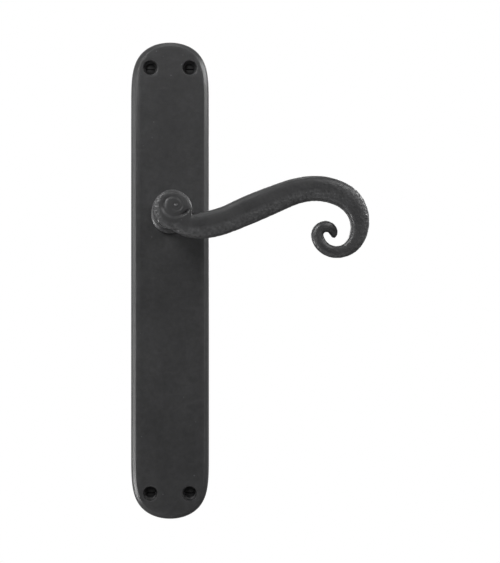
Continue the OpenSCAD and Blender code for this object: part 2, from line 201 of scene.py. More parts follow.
def lathe(profile, segments, centre=(0, 0)):
    """Verts and faces of [radius, Y] points turned about a Y axis through centre (X, Z)."""
    verts, faces, rings = [], [], []
    for r, y in profile:
        if r < 1e-6:
            rings.append([len(verts)])
            verts.append((centre[0], y, centre[1]))
            continue
        rings.append(list(range(len(verts), len(verts) + segments)))
        for k in range(segments):
            a = 2 * math.pi * k / segments
            verts.append((centre[0] + r * math.cos(a), y, centre[1] + r * math.sin(a)))
    for a, b in zip(rings, rings[1:]):
        for k in range(segments):
            j = (k + 1) % segments
            if len(a) == 1 and len(b) == 1:
                continue
            if len(a) == 1:
                faces.append((a[0], b[k], b[j]))
            elif len(b) == 1:
                faces.append((a[k], b[0], a[j]))
            else:
                faces.append((a[k], b[k], b[j], a[j]))
    return verts, faces


def turned_mesh(name, profile, segments=64, centre=(0, 0), smooth_angle=35):
    return mesh_from(name, *lathe(profile, segments, centre), smooth_angle)


def box_mesh(lo, hi):
    """A box between two corners."""
    bm = bmesh.new()
    bmesh.ops.create_cube(bm, size=1.0)
    mesh = bpy.data.meshes.new("box")
    bm.to_mesh(mesh)
    bm.free()
    lo, hi = Vector(lo) * MM, Vector(hi) * MM
    size = hi - lo
    mesh.transform(Matrix.Translation((lo + hi) / 2) @ Matrix.Diagonal((*size, 1)))
    return mesh


def sweep(path, sides):
    """Closed tube through (centre, side, up, w, d, powers) stations; the powers are for its two sides."""
    verts, faces = [], []
    angles = np.linspace(0, 2 * math.pi, sides, endpoint=False)
    c, s = np.cos(angles), np.sin(angles)
    for centre, side, up, w, d, power in path:
        p = np.where(c > 0, power[0], power[1])
        x = np.sign(c) * np.abs(c) ** (2 / p) * w
        y = np.sign(s) * np.abs(s) ** (2 / p) * d
        verts.extend(np.asarray(centre) + np.outer(x, side) + np.outer(y, up))
    n = len(path)
    for i in range(n - 1):
        for k in range(sides):
            a, b = i * sides + k, i * sides + (k + 1) % sides
            faces.append((a, b, b + sides, a + sides))
    for ring in (0, n - 1):
        middle = len(verts)
        verts.append(np.asarray(path[ring][0]))
        for k in range(sides):
            faces.append((ring * sides + k, middle, ring * sides + (k + 1) % sides))
    return verts, faces


def apply_modifiers(obj):
    """Puts the result of an object's modifiers in place of its mesh."""
    dg = bpy.context.evaluated_depsgraph_get()
    mesh = bpy.data.meshes.new_from_object(obj.evaluated_get(dg))
    obj.modifiers.clear()
    old = obj.data
    obj.data = mesh
    bpy.data.meshes.remove(old)
    return mesh


def scratch(mesh):
    obj = bpy.data.objects.new("scratch", mesh)
    bpy.context.scene.collection.objects.link(obj)
    return obj


def combine(base, cutters, operation):
    """Boolean of a scratch object with meshes; the cutters are removed afterwards."""
    for mesh in cutters:
        other = scratch(mesh)
        mod = base.modifiers.new("cut", "BOOLEAN")
        mod.operation = operation
        mod.solver = "MANIFOLD"
        mod.object = other
        apply_modifiers(base)
        bpy.data.objects.remove(other)
        bpy.data.meshes.remove(mesh)


# ---------------------------------------------------------------- materials

class Nodes:
    """A small builder for node materials."""

    def __init__(self, name):
        self.material = bpy.data.materials.new(name)
        self.material.use_nodes = True
        self.tree = self.material.node_tree
        self.tree.nodes.clear()
        self.out = self.tree.nodes.new("ShaderNodeOutputMaterial")
        self.shader = self.tree.nodes.new("ShaderNodeBsdfPrincipled")
        self.tree.links.new(self.shader.outputs[0], self.out.inputs[0])
        self.place = self.tree.nodes.new("ShaderNodeTexCoord").outputs["Object"]

    def link(self, a, b):
        self.tree.links.new(a, b)

    def noise(self, scale, detail=4, rough=0.55, stretch=(1, 1, 1), distortion=0.0):
        mapping = self.tree.nodes.new("ShaderNodeMapping")
        mapping.inputs["Scale"].default_value = stretch
        self.link(self.place, mapping.inputs["Vector"])
        n = self.tree.nodes.new("ShaderNodeTexNoise")
        n.inputs["Scale"].default_value = scale
        n.inputs["Detail"].default_value = detail
        n.inputs["Roughness"].default_value = rough
        n.inputs["Distortion"].default_value = distortion
        self.link(mapping.outputs[0], n.inputs["Vector"])
        return n.outputs[0]

    def cells(self, scale, feature="F1", randomness=1.0):
        n = self.tree.nodes.new("ShaderNodeTexVoronoi")
        n.feature = feature
        n.inputs["Scale"].default_value = scale
        n.inputs["Randomness"].default_value = randomness
        self.link(self.place, n.inputs["Vector"])
        return n.outputs["Distance"]

    def attribute(self, name):
        n = self.tree.nodes.new("ShaderNodeAttribute")
        n.attribute_name = name
        return n.outputs["Fac"]

    def ramp(self, value, stops):
        n = self.tree.nodes.new("ShaderNodeValToRGB")
        e = n.color_ramp.elements
        while len(e) < len(stops):
            e.new(0.5)
        for item, (pos, colour) in zip(e, stops):
            item.position = pos
            item.color = (*colour, 1) if not isinstance(colour, float) else (colour,) * 3 + (1,)
        self.link(value, n.inputs[0])
        return n.outputs[0]

    def math(self, op, a, b):
        n = self.tree.nodes.new("ShaderNodeMath")
        n.operation = op
        for socket, v in zip(n.inputs, (a, b)):
            if isinstance(v, (int, float)):
                socket.default_value = v
            else:
                self.link(v, socket)
        return n.outputs[0]

    def mix(self, factor, a, b, blend="MIX"):
        n = self.tree.nodes.new("ShaderNodeMix")
        n.data_type = "RGBA"
        n.blend_type = blend
        for socket, v in ((n.inputs[0], factor), (n.inputs[6], a), (n.inputs[7], b)):
            if isinstance(v, (int, float)):
                socket.default_value = v
            elif isinstance(v, tuple):
                socket.default_value = (*v, 1)
            else:
                self.link(v, socket)
        return n.outputs[2]

    def edges(self, low, high):
        """1 on convex edges, 0 elsewhere, from the surface's own pointiness: worn edges on the screws,
        painted edge highlights on the lever.
        """
        g = self.tree.nodes.new("ShaderNodeNewGeometry")
        return self.ramp(g.outputs["Pointiness"], [(low, 0.0), (high, 1.0)])

    def bump(self, height, strength, distance):
        n = self.tree.nodes.new("ShaderNodeBump")
        n.inputs["Strength"].default_value = strength
        n.inputs["Distance"].default_value = distance
        self.link(height, n.inputs["Height"])
        if self.shader.inputs["Normal"].is_linked:
            self.link(self.shader.inputs["Normal"].links[0].from_socket, n.inputs["Normal"])
        self.link(n.outputs[0], self.shader.inputs["Normal"])

    def set(self, **values):
        for key, v in values.items():
            socket = self.shader.inputs[key.replace("_", " ")]
            if isinstance(v, (int, float)):
                socket.default_value = v
            elif isinstance(v, tuple):
                socket.default_value = (*v, 1)
            else:
                self.link(v, socket)
        return self


def plate_iron():
    """Black waxed casting: satin, faintly mottled, with fine casting grain and a few bright specks."""
    m = Nodes("plate_iron")
    mottle = m.noise(38, 5, 0.6, (1, 1, 0.55))
    grain = m.noise(900, 3, 0.6)
    tone = m.ramp(mottle, [(0.3, (0.031, 0.031, 0.032)), (0.7, (0.044, 0.044, 0.045))])
    fine = m.ramp(m.noise(420, 4, 0.7), [(0.32, 0.84), (0.68, 1.16)])
    tone = m.mix(1.0, tone, fine, "MULTIPLY")
    wiped = m.ramp(m.noise(170, 3, 0.6, (0.35, 1, 1.6), 0.6), [(0.60, 0.0), (0.74, 1.0)])
    tone = m.mix(m.math("MULTIPLY", wiped, 0.35), tone, (0.058, 0.058, 0.059))
    speck = m.ramp(m.cells(230), [(0.05, 1.0), (0.11, 0.0)])
    rare = m.ramp(m.noise(45, 2), [(0.5, 0.0), (0.56, 1.0)])
    tone = m.mix(m.math("MULTIPLY", m.math("MULTIPLY", speck, rare), 0.55), tone, (0.13, 0.13, 0.135))
    rough = m.math("ADD", m.math("MULTIPLY", m.noise(90, 5), 0.16), 0.29)
    m.set(Base_Color=tone, Roughness=rough, Metallic=0.0)
    m.shader.inputs["Specular IOR Level"].default_value = 0.5
    m.bump(grain, 0.22, 0.00014)
    m.bump(m.noise(230, 5, 0.65), 0.35, 0.0002)
    return m.material


def lever_iron():
    """The same black finish on hammered iron, with painted highlights: lighter on the convex edges and
    ridges, and in speckles over the hammered patches.
    """
    m = Nodes("lever_iron")
    mottle = m.noise(120, 5, 0.6)
    tone = m.ramp(mottle, [(0.3, (0.030, 0.030, 0.031)), (0.72, (0.049, 0.049, 0.050))])
    # Painted highlight: convex edges and hammered ridges are made lighter in colour, standing in for the
    # light they catch.
    high = m.edges(0.505, 0.56)
    tone = m.mix(m.math("MULTIPLY", high, 0.5), tone, (0.11, 0.11, 0.112))
    # Painted highlight: the hammered patches (the disc's lower left, the arm's underside, the curl's outer
    # edge) are lightened in speckles, standing in for glints.
    struck = m.ramp(m.attribute("hammered"), [(0.3, 0.0), (0.8, 1.0)])
    highlight_speckle = m.ramp(m.noise(420, 4, 0.65), [(0.38, 0.25), (0.62, 1.0)])
    tone = m.mix(m.math("MULTIPLY", m.math("MULTIPLY", struck, highlight_speckle), 0.5), tone, (0.092, 0.092, 0.094))
    rough = m.math("ADD", m.math("MULTIPLY", m.noise(260, 4), 0.16), 0.30)
    m.set(Base_Color=tone, Roughness=rough, Metallic=0.0)
    m.shader.inputs["Specular IOR Level"].default_value = 0.5
    m.bump(m.noise(1100, 3, 0.6), 0.2, 0.0001)
    m.bump(m.noise(420, 4, 0.65), 0.4, 0.0002)
    return m.material


def machined_iron():
    """Bare turned iron, with fine rings from the tool."""
    m = Nodes("machined_iron")
    rings = m.noise(2400, 2, 0.5, (0.05, 1, 0.05))
    tone = m.ramp(m.noise(120, 4), [(0.3, (0.20, 0.20, 0.205)), (0.7, (0.30, 0.30, 0.305))])
    m.set(Base_Color=tone, Roughness=m.math("ADD", m.math("MULTIPLY", rings, 0.2), 0.28))
    m.shader.inputs["Metallic"].default_value = 1.0
    m.bump(rings, 0.3, 0.00005)
    return m.material


def black_steel():
    """Blackened screws: darker than the castings, worn at the edges."""
    m = Nodes("black_steel")
    tone = m.ramp(m.noise(500, 4), [(0.3, (0.013, 0.013, 0.0135)), (0.75, (0.026, 0.026, 0.0265))])
    wear = m.edges(0.53, 0.62)
    tone = m.mix(m.math("MULTIPLY", wear, 0.2), tone, (0.10, 0.10, 0.10))
    m.set(Base_Color=tone, Roughness=m.math("ADD", m.math("MULTIPLY", m.noise(300, 3), 0.15), 0.38))
    m.shader.inputs["Specular IOR Level"].default_value = 0.45
    m.bump(m.noise(900, 3), 0.25, 0.00008)
    return m.material


def zinc_steel():
    """Zinc plate: cloudy, with fine scratches."""
    m = Nodes("zinc_steel")
    cloud = m.noise(90, 5, 0.6)
    tone = m.ramp(cloud, [(0.3, (0.27, 0.275, 0.28)), (0.7, (0.40, 0.405, 0.41))])
    scratches = m.noise(260, 3, 0.6, (1, 0.06, 1))
    rough = m.math("ADD", m.math("MULTIPLY", scratches, 0.22), 0.30)
    m.set(Base_Color=tone, Roughness=rough)
    m.shader.inputs["Metallic"].default_value = 1.0
    m.bump(scratches, 0.15, 0.00006)
    return m.material


def spring_steel():
    """Oiled spring wire."""
    m = Nodes("spring_steel")
    tone = m.ramp(m.noise(300, 4), [(0.3, (0.13, 0.13, 0.14)), (0.7, (0.26, 0.26, 0.275))])
    m.set(Base_Color=tone, Roughness=m.math("ADD", m.math("MULTIPLY", m.noise(500, 3), 0.2), 0.22))
    m.shader.inputs["Metallic"].default_value = 1.0
    m.bump(m.noise(1200, 3), 0.2, 0.00004)
    return m.material


def nylon():
    """Moulded black nylon."""
    m = Nodes("nylon")
    tone = m.ramp(m.noise(200, 3), [(0.3, (0.014, 0.014, 0.015)), (0.7, (0.022, 0.022, 0.023))])
    m.set(Base_Color=tone, Roughness=m.math("ADD", m.math("MULTIPLY", m.noise(800, 3), 0.1), 0.42))
    m.bump(m.noise(1500, 2), 0.15, 0.00004)
    return m.material


# ---------------------------------------------------------------- backplate

def outline(points_per_end=60, straight_step=3.0):
    """The plate's outline about its middle, clockwise from the top as (X, Z)."""
    quarter = []
    for a in np.linspace(0, math.pi / 2, points_per_end // 2 + 1):
        rise = max(math.cos(a), 0) ** (2 / END_POWER)
        quarter.append((PLATE_HALF_WIDTH * math.sin(a), PLATE_HALF_HEIGHT - END_LENGTH * (1 - rise)))
    side_top = quarter[-1][1]
    count = int(2 * side_top / straight_step)
    side = [(PLATE_HALF_WIDTH, side_top - 2 * side_top * i / count) for i in range(1, count)]
    right = quarter + side + [(x, -z) for x, z in reversed(quarter)]
    return np.array(right + [(-x, z) for x, z in reversed(right[1:-1])])


def inset(points, d):
    """The outline moved inwards by d."""
    ahead, behind = np.roll(points, -1, 0), np.roll(points, 1, 0)
    t = ahead - behind
    n = np.c_[-t[:, 1], t[:, 0]] / np.linalg.norm(t, axis=1)[:, None]
    flip = np.where((n * points).sum(1) > 0, -1.0, 1.0)
    return points + n * flip[:, None] * d


def plate_profile():
    """The edge from the door to the face, as (inset, height above the door)."""
    depth = -FACE_Y
    side = [(0.0, 0.0), (0.0, 0.3), (0.0, 2.5), (0.02, 5.0), (0.06, 6.8)]
    shoulder = [(0.16, 7.5), (0.32, 8.1), (0.56, 8.62), (0.88, 9.05)]
    bevel = [(1.2, 9.37), (1.5, 9.66), (1.8, 9.96), (2.1, 10.26), (2.38, 10.55)]
    lip = [(2.55, 10.76), (2.68, 10.92), (2.82, depth)]
    return side + shoulder + bevel + lip


def extruded(name, rows):
    """A closed solid through rows of (points, Y), with a flat cap at each end."""
    n = len(rows[0][0])
    verts = [(x, y, z + PLATE_MIDDLE) for points, y in rows for x, z in points]
    faces = []
    for i in range(len(rows) - 1):
        for k in range(n):
            a, b = i * n + k, i * n + (k + 1) % n
            faces.append((a, b, b + n, a + n))
    faces.append(tuple(range(n)))
    faces.append(tuple(range((len(rows) - 1) * n, len(rows) * n)))
    return mesh_from(name, verts, faces)


def screw_places():
    """The four screws as (X, Z)."""
    return [(sx * SCREW_X, sz * SCREW_Z + PLATE_MIDDLE) for sz in (1, -1) for sx in (-1, 1)]


def backplate():
    ring = outline()
    base = scratch(extruded("plate", [(inset(ring, e), -h) for e, h in plate_profile()]))
    floor_edge = inset(ring, WALL + 0.7)
    cavity = extruded("cavity", [
        (floor_edge, INNER_Y), (inset(ring, WALL + 0.2), INNER_Y + 0.25),
        (inset(ring, WALL), INNER_Y + 0.9), (inset(ring, WALL), -0.25),
        (inset(ring, WALL - 0.3), 0.05), (inset(ring, WALL - 0.3), 1.0)])
    combine(base, [cavity], "DIFFERENCE")
    root = INNER_Y - 0.6
    bosses = [turned_mesh("boss", [
        (0, root), (BOSS_R + 0.9, root), (BOSS_R + 0.7, INNER_Y + 0.05), (BOSS_R + 0.15, INNER_Y + 0.5),
        (BOSS_R, BOSS_END_Y - 0.3), (BOSS_R - 0.3, BOSS_END_Y), (0, BOSS_END_Y)], 96)]
    for place in screw_places():
        bosses.append(turned_mesh("boss", [
            (0, root), (5.6, root), (5.2, INNER_Y + 0.4), (5.2, -0.3), (4.9, 0), (0, 0)], 56, place))
    posts = [(0, COVER_POST_Z), (0, -COVER_POST_Z)]
    for place in posts:
        bosses.append(turned_mesh("post", [
            (0, root), (3.2, root), (2.8, INNER_Y + 0.4), (2.8, -0.82), (0, -0.82)], 40, place))
    combine(base, bosses, "UNION")
    holes = [turned_mesh("bore", [
        (0, FACE_Y - 1), (BUSH_HOLE_R, FACE_Y - 1), (BUSH_HOLE_R, 1), (0, 1)], 96)]
    seat_y = FACE_Y + RECESS_DEPTH
    for place in screw_places():
        holes.append(turned_mesh("recess", [
            (0, FACE_Y - 1), (RECESS_R + 0.5, FACE_Y - 1), (RECESS_R + 0.42, FACE_Y - 0.02),
            (RECESS_R + 0.14, FACE_Y + 0.1), (RECESS_R, FACE_Y + 0.42), (RECESS_R - 0.06, seat_y - 0.75),
            (SCREW_R + 0.16, seat_y - 0.05), (SCREW_R + 0.07, seat_y + 0.02),
            (SCREW_HOLE_R, seat_y + SCREW_R + 0.07 - SCREW_HOLE_R), (SCREW_HOLE_R, 1), (0, 1)], 64, place))
    for place in posts:
        holes.append(turned_mesh("tapped", [
            (0, INNER_Y + 0.6), (1.5, INNER_Y + 0.6), (1.5, -1.3), (2.0, -1.3), (2.0, 0),
            (0, 0)], 32, place))
    combine(base, holes, "DIFFERENCE")
    mesh = base.data.copy()
    bpy.data.objects.remove(base)
    mesh.name = "backplate_casting"
    score(mesh, 0, np.arange(-18.0, 18.1, 3.0))
    score(mesh, 2, np.arange(PLATE_BOTTOM + 3, PLATE_TOP, 3.0))
    uneven_face(mesh)
    finish_mesh(mesh, 28)
    obj = new_object("backplate_casting", mesh, "plate", plate_iron())
    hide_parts("backplate")


def score(mesh, axis, places):
    """Cuts the mesh's faces along planes, so that the flat face can take a casting's unevenness."""
    bm = bmesh.new()
    bm.from_mesh(mesh)
    normal = Vector([1.0 if i == axis else 0.0 for i in range(3)])
    for place in places:
        geom = bm.verts[:] + bm.edges[:] + bm.faces[:]
        bmesh.ops.bisect_plane(
            bm, geom=geom, plane_co=normal * float(place) * MM, plane_no=normal, dist=1e-7)
    bm.to_mesh(mesh)
    bm.free()


def uneven_face(mesh):
    """The faint unevenness of a sand casting, a few hundredths of a millimetre, none of it outwards."""
    swells_per_metre, depth = 70, 0.06
    for v in mesh.vertices:
        if v.co.y / MM > FACE_Y + 0.02:
            continue
        lift = noise.noise(Vector((v.co.x, 0, v.co.z)) * swells_per_metre) * 0.5 + 0.5
        v.co.y += lift * depth * MM


# ---------------------------------------------------------------- fixing screws

def screw_mesh(spin):
    """A raised countersunk head with a slot, a plain shank and a threaded end with a point."""
    rim = FACE_Y + RECESS_DEPTH + 0.05
    top = rim - 0.55
    dome = [(0, top), (0.7, top + 0.03), (1.4, top + 0.12), (2.0, top + 0.27), (2.45, top + 0.43),
            (2.7, top + 0.54)]
    cone = [(SCREW_R, rim + 0.05), (SCREW_R, rim + 0.14), (SHANK_R, rim + SCREW_R - 1.3)]
    shank = [(SHANK_R, -0.2), (0, -0.2)]
    obj = scratch(turned_mesh("head", dome + cone + shank, 72))
    slot = box_mesh((-4, top - 1, SLOT_Z - SLOT_WIDTH / 2), (4, top + SLOT_DEPTH, SLOT_Z + SLOT_WIDTH / 2))
    slot.transform(Matrix.Rotation(math.radians(spin), 4, "Y"))
    combine(obj, [slot], "DIFFERENCE")
    bm = bmesh.new()
    bm.from_mesh(obj.data)
    bmesh.ops.bevel(bm, geom=[e for e in bm.edges if e.is_manifold and e.calc_face_angle(0) > 1.0 and
                              min(v.co.y for v in e.verts) / MM < rim - 0.06],
                    offset=0.07 * MM, segments=2, affect="EDGES")
    bpy.data.objects.remove(obj)
    verts, faces = thread_verts()
    thread = mesh_from("thread", verts, faces)
    bm.from_mesh(thread)
    out = bpy.data.meshes.new("fixing_screw")
    bm.to_mesh(out)
    bm.free()
    finish_mesh(out, 40)
    return out


def thread_verts(sides=36):
    """The threaded end as a closed skin whose ridge climbs one pitch for each turn."""
    end = SCREW_HI.y
    rows = int((end + 0.3) / 0.13)
    verts, faces = [], []
    for i in range(rows + 1):
        y = -0.3 + (end + 0.3) * i / rows
        taper = min(1.0, max(0.06, (end - y) / POINT_LENGTH))
        start = min(1.0, max(0.0, y))
        for k in range(sides):
            a = 2 * math.pi * k / sides
            phase = (y / THREAD_PITCH - k / sides) % 1.0
            ridge = max(0.0, 1 - abs(phase - 0.5) * 3.2) * start
            r = (THREAD_ROOT_R + (THREAD_R - THREAD_ROOT_R) * ridge) * taper
            verts.append((r * math.cos(a), y, r * math.sin(a)))
    for i in range(rows):
        for k in range(sides):
            a, b = i * sides + k, i * sides + (k + 1) % sides
            faces.append((a, b, b + sides, a + sides))
    faces.append(tuple(range(sides)))
    faces.append(tuple(range(rows * sides, (rows + 1) * sides)))
    return verts, faces


def fixing_screws():
    """Four alike, each with its slot turned by its own few degrees."""
    material = black_steel()
    spins = {"top_left": 1.5, "top_right": -1.0, "bottom_left": 0.8, "bottom_right": -0.4}
    for where, spin in spins.items():
        node = "fixing_screw_" + where
        lo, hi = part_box(node)
        mesh = screw_mesh(spin)
        mesh.transform(Matrix.Translation(((lo.x + hi.x) / 2, 0, (lo.z + hi.z) / 2)))
        obj = new_object("slotted_screw_" + where, mesh, "plate", material)
        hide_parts(node)


# ---------------------------------------------------------------- lever

def curve_through(stations, x):
    """Smooth interpolation through (x, value) stations."""
    xs = np.array([s[0] for s in stations], float)
    ys = np.array([s[1] for s in stations], float)
    slope = np.gradient(ys, xs)
    i = np.clip(np.searchsorted(xs, x) - 1, 0, len(xs) - 2)
    h = xs[i + 1] - xs[i]
    t = np.clip((x - xs[i]) / h, 0, 1)
    return ((2 * t**3 - 3 * t**2 + 1) * ys[i] + (t**3 - 2 * t**2 + t) * h * slope[i]
            + (-2 * t**3 + 3 * t**2) * ys[i + 1] + (t**3 - t**2) * h * slope[i + 1])


def arm_line(step=0.5):
    """Points of the arm as (X, Z, heading in radians, distance)."""
    x, z = ARM_START
    h, s = math.radians(ARM_HEADING), 0.0
    out = [(x, z, h, s)]
    for length, turn in ARM_BENDS:
        n = max(int(math.ceil(length / step)), int(abs(turn) / 3))
        for _ in range(n):
            d, t = length / n, math.radians(turn) / n
            x += d * math.cos(h + t / 2)
            z += d * math.sin(h + t / 2)
            h += t
            s += d
            out.append((x, z, h, s))
    return out


def arm_stations():
    """Stations of the bar: flat-fronted at the root, rounder towards the curl, leaning back at the tip."""
    up = np.array([0.0, 1.0, 0.0])
    stations = []
    for x, z, h, s in arm_line():
        side = np.array([-math.sin(h), 0.0, math.cos(h)])
        extra = ARM_EXTRA * min(1.0, (ARM_LENGTH - s) / ARM_EXTRA_FADE)
        w = float(curve_through(ARM_HEIGHTS, s)) + extra
        d = float(curve_through(ARM_DEPTHS, s)) + extra
        outer = float(np.interp(s, [0, 60, 85, 100, 134], [4.6, 4.4, 3.4, 2.8, 2.5]))
        inner = float(np.interp(s, [0, 30, 70, 85, 112, 126, 134], [4.6, 3.4, 3.4, 4.2, 4.4, 3.2, 2.6]))
        lean = max(0.0, (s - 141.0) / 10.5) ** 1.5 * 1.6
        stations.append((np.array([x, ARM_Y + lean, z]), side, up, w, d, (outer, inner)))
    return stations


def head_profile():
    """The disc's edge and its gently domed front, as [radius, Y]."""
    f = FRONT_Y
    front = [(0, f - 0.52), (4, f - 0.5), (6.2, f - 0.45), (7.4, f - 0.36), (8.3, f - 0.22),
             (9.0, f - 0.04)]
    rim = [(9.14, f + 0.03), (9.59, f + 0.48), (9.65, f + 0.95)]
    back = [(9.65, f + 4), (9.5, f + 9), (9.2, f + 10.6), (8.4, f + 12), (7.0, f + 13), (0, f + 13)]
    return front + rim + back


def neck_mesh():
    """The round bar behind the disc with its flared foot, the spindle's socket and the set screw's hole."""
    f = FRONT_Y
    obj = scratch(turned_mesh("neck", [
        (0, f + 4), (8.6, f + 4), (9.0, f + 6), (9.0, f + 11), (8.5, f + 13), (NECK_R, f + 16),
        (NECK_R, FOOT_Y - 6), (NECK_R + 0.15, FOOT_Y - 4.6), (NECK_R + 0.7, FOOT_Y - 3.3),
        (FOOT_R - 0.75, FOOT_Y - 2.3), (FOOT_R - 0.15, FOOT_Y - 1.7), (FOOT_R, FOOT_Y - 1.1),
        (FOOT_R, FOOT_Y - 0.25), (FOOT_R - 0.25, FOOT_Y), (0, FOOT_Y)], 96))
    half = SOCKET / 2
    grub = bmesh.new()
    bmesh.ops.create_cone(
        grub, cap_ends=True, segments=48, radius1=GRUB_R * MM, radius2=GRUB_R * MM, depth=10 * MM)
    hole = bpy.data.meshes.new("grub_hole")
    grub.to_mesh(hole)
    grub.free()
    hole.transform(Matrix.Translation(Vector((0, GRUB_Y, -9.05)) * MM))
    combine(obj, [box_mesh((-half, -SOCKET_DEPTH, -half), (half, 0, half)), hole], "DIFFERENCE")
    mesh = obj.data.copy()
    bpy.data.objects.remove(obj)
    return mesh


def coordinates(mesh, attribute="co"):
    """The mesh's points, or their normals, one row each."""
    out = np.empty(len(mesh.vertices) * 3)
    mesh.vertices.foreach_get(attribute, out)
    return out.reshape(-1, 3)


def put_coordinates(mesh, co):
    mesh.vertices.foreach_set("co", co.ravel())
    mesh.update()


def level_front(mesh, rounds=24, join_rounds=90):
    """Evens out the front, then runs the disc and the arm into each other, moving points only in Y."""
    co, normals = coordinates(mesh) / MM, coordinates(mesh, "normal")
    edges = np.empty(len(mesh.edges) * 2, int)
    mesh.edges.foreach_get("vertices", edges)
    edges = edges.reshape(-1, 2)
    weight = np.clip((-normals[:, 1] - 0.55) / 0.3, 0, 1) * (co[:, 1] < FRONT_Y + 4)
    y = co[:, 1].copy()
    count = np.bincount(edges.ravel(), minlength=len(y))
    join = weight * np.exp(-((co[:, 0] - 7.5) / 6) ** 2 - ((co[:, 2] + 9) / 4.5) ** 2)
    a, b = edges.T
    for i in range(rounds + join_rounds):
        total = np.bincount(a, y[b], len(y)) + np.bincount(b, y[a], len(y))
        y += (weight if i < rounds else join) * (total / np.maximum(count, 1) - y)
    co[:, 1] = y
    put_coordinates(mesh, co * MM)


def scroll_depth(x, z):
    """Depth of the scroll's groove at points of the disc's front."""
    points = np.array(SCROLL)
    t = np.arange(len(points))
    fine = np.linspace(0, len(points) - 1, 240)
    track = np.stack([curve_through(list(zip(t, points[:, i])), fine) for i in range(4)], 1)
    best = np.zeros(len(x))
    for px, pz, depth, width in track:
        best = np.maximum(best, depth * np.exp(-((x - px) ** 2 + (z - pz) ** 2) / width**2))
    return best


def left_lean(x, z):
    """How far the disc's front falls away towards its lower left side."""
    middle, full_within, none_past = np.radians([213, 33, 78])
    turn = np.abs(np.arctan2(z, x) % (2 * math.pi) - middle)
    side = fade(none_past - turn, 0, none_past - full_within)
    return 0.62 * fade(np.hypot(x, z), 5.4, 9.4) ** 1.4 * side


def carve_scroll(mesh):
    """Sinks the scroll's groove into the disc's front and raises its eye."""
    co, normals = coordinates(mesh) / MM, coordinates(mesh, "normal")
    front = (co[:, 1] < FRONT_Y + 3.2) & (co[:, 0] < 14) & (normals[:, 1] < -0.3)
    x, z = co[front, 0], co[front, 2]
    push = scroll_depth(x, z) + left_lean(x - HEAD_CENTRE[0], z - HEAD_CENTRE[1])
    eye = np.hypot(x - EYE[0], z - EYE[1])
    push -= EYE_HEIGHT * np.exp(-(eye / 0.6) ** 4)
    push += EYE_MOAT * np.exp(-((eye - 1.2) / 0.45) ** 2)
    co[front, 1] += push * np.clip(-normals[front, 1] * 1.5 - 0.3, 0, 1)
    put_coordinates(mesh, co * MM)


def fade(v, low, high):
    """0 below low, 1 above high, straight between."""
    return np.clip((v - low) / (high - low), 0, 1)


def hammering(points):
    """How hammered each point is, 0 to 1: most on the disc's left, the arm's underside and the curl."""
    gap = np.full(len(points), np.inf)
    along = np.zeros(len(points))
    across = np.zeros(len(points))
    for x, z, h, s in arm_line(2.0):
        dx, dz = points[:, 0] - x, points[:, 2] - z
        d = dx**2 + dz**2
        near = d < gap
        gap[near], along[near] = d[near], s
        across[near] = (-math.sin(h) * dx + math.cos(h) * dz)[near]
    across /= np.interp(along, [0, 12, 62, 98, 122, 151], [4.2, 6.1, 6.2, 4.8, 2.9, 1.5])
    under = fade(-across, -0.05, 0.4)
    outer = fade(across, 0.1, 0.7)
    curl = fade(along, 72, 96)
    tip = 1 - 0.4 * fade(along, 112, 125)
    arm = (0.16 + 0.84 * under) * (1 - curl) + (0.35 + 0.5 * outer) * curl * tip
    r = np.hypot(points[:, 0] - HEAD_CENTRE[0], points[:, 2] - HEAD_CENTRE[1])
    left = 0.25 + 0.6 * fade(-points[:, 0] - points[:, 2], -2, 5)
    disc = fade(r, 5.2, 7.4) * left
    on_disc = 1 - fade(points[:, 0] - points[:, 2] * 0.5, 6, 12)
    return (disc * on_disc + arm * (1 - on_disc)) * (0.05 + 0.95 * (points[:, 1] < -41.5))


def hammer(mesh, strength, seed, spacing, depth):
    """Dishes left by a hammer: a point sinks more the nearer its blow is, so dishes meet in ridges."""
    rng = random.Random(seed)
    co, normals = coordinates(mesh), coordinates(mesh, "normal")
    order = list(range(len(co)))
    rng.shuffle(order)
    cell = {}
    seeds = []
    for i in order:
        p = co[i] / MM
        key = tuple(np.floor(p / spacing).astype(int))
        near = [seeds[j][0] for dx, dy, dz in product((-1, 0, 1), repeat=3)
                for j in cell.get((key[0] + dx, key[1] + dy, key[2] + dz), ())]
        if any(np.dot(p - q, p - q) < spacing**2 for q in near):
            continue
        cell.setdefault(key, []).append(len(seeds))
        seeds.append((p, depth * rng.uniform(0.35, 1.0), rng.random() < 0.9, rng.uniform(0.85, 1.15)))
    tree = KDTree(len(seeds))
    for j, item in enumerate(seeds):
        tree.insert(item[0], j)
    tree.balance()
    push = np.zeros(len(co))
    reach = spacing * 0.78
    for i, p in enumerate(co / MM):
        _, j, dist = tree.find(p)
        _, d, struck, wide = seeds[j]
        if struck:
            push[i] = -d * max(0.0, 1 - (dist / (reach * wide)) ** 2)
    put_coordinates(mesh, co + normals * (push * strength)[:, None] * MM)


